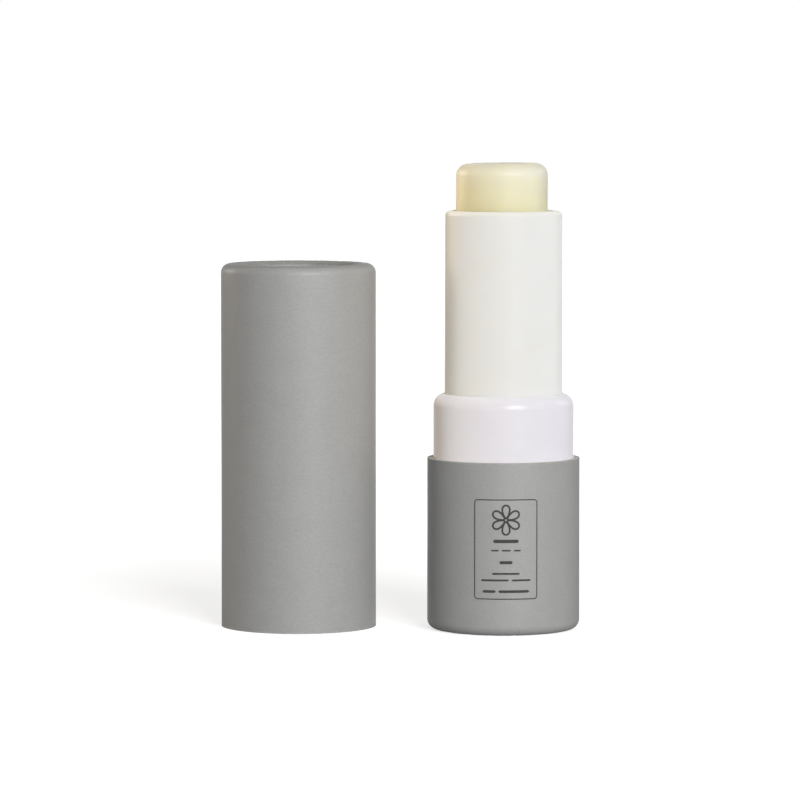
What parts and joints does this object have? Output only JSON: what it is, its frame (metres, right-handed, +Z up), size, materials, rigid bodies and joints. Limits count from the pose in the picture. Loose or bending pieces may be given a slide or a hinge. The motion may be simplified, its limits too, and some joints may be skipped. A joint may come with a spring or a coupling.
{
  "type": "lip balm",
  "caption": "Twist-up lip balm in a wrapped paper tube with a plastic sleeve and collar, balm raised, with the paper cap standing beside it.",
  "frame": {"origin": "on the floor, at the centre of the box round the balm and its cap", "axes": "+Z up, from the floor to the balm; +X from the cap to the balm; the printed front of the paper base faces -Y"},
  "size_m": [0.0469, 0.0232, 0.0608],
  "materials": {
    "grey_paper": "matte",
    "board": "matte",
    "grey_disc": "matte",
    "collar_plastic": "satin",
    "inner_plastic": "satin",
    "sleeve_plastic": "satin",
    "balm_wax": "satin"
  },
  "bodies": {
    "base": {"base_wrap": "grey_paper", "base_tube": "board", "base_disc": "grey_disc", "collar": "collar_plastic", "guide_tube": "inner_plastic"},
    "sleeve": {"sleeve": "sleeve_plastic"},
    "carrier": {"balm_cup": "inner_plastic", "balm": "balm_wax"},
    "cap": {"cap_wrap": "grey_paper", "cap_tube": "board", "cap_disc": "grey_disc"}
  },
  "joints": [
    {"name": "sleeve_twist", "type": "hinge", "parent": "base", "child": "sleeve", "pos_m": [0.0135, -0.00165, 0.0308], "axis": [0, 0, 1], "range_deg": [-216, 91.2]},
    {"name": "balm_rise", "type": "slide", "parent": "base", "child": "carrier", "axis": [0, 0, 1], "range_m": [-0.00761, 0.01801]},
    {"name": "cap_lift", "type": "slide", "parent": "base", "child": "cap", "axis": [0, 0, 1], "range_m": [0, 0.065]}
  ],
  "couplings": [
    {"joint": "balm_rise", "follows": "sleeve_twist", "m_per_rad": -0.0047746}
  ]
}
